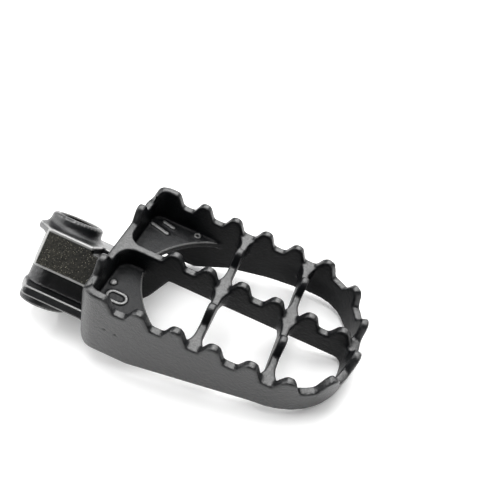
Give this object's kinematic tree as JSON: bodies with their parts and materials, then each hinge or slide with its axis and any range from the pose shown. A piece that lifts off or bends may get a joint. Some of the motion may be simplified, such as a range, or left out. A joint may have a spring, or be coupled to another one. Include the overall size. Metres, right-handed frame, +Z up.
{
  "type": "foot peg",
  "caption": "Folding foot peg: a toothed cage platform cast with a leaning hinge lug, a necked spring hub and a plain steel pivot bush.",
  "frame": {"origin": "centre of the hinge bore, halfway along its axis", "axes": "+Z up from the floor the peg lies on, +X from the hinge towards the tip, +Y towards the rear rail"},
  "size_m": [0.1289, 0.056, 0.0401],
  "materials": {
    "black_casting": "satin black coat over cast steel",
    "rough_casting": "worn black coat over a rough cast face",
    "bush_steel": "bare machined steel"
  },
  "bodies": {
    "peg": {"front_rail": "black_casting", "rear_rail": "black_casting", "tip_rail": "black_casting", "end_wall": "black_casting", "centre_rib": "black_casting", "inner_bar_front": "black_casting", "inner_bar_rear": "black_casting", "outer_bar_front": "black_casting", "outer_bar_rear": "black_casting", "front_web": "black_casting", "rear_web": "black_casting", "lug_block": "rough_casting", "spring_hub": "black_casting", "upper_plate": "black_casting", "lower_plate": "black_casting", "upper_boss": "black_casting", "lower_boss": "black_casting"},
    "bush": {"pivot_bush": "bush_steel"}
  },
  "joints": [
    {"name": "fold_pivot", "type": "hinge", "parent": "peg", "child": "bush", "pos_m": [0, 0, 0], "axis": [0.2008, 0.7193, 0.665], "continuous": true}
  ]
}
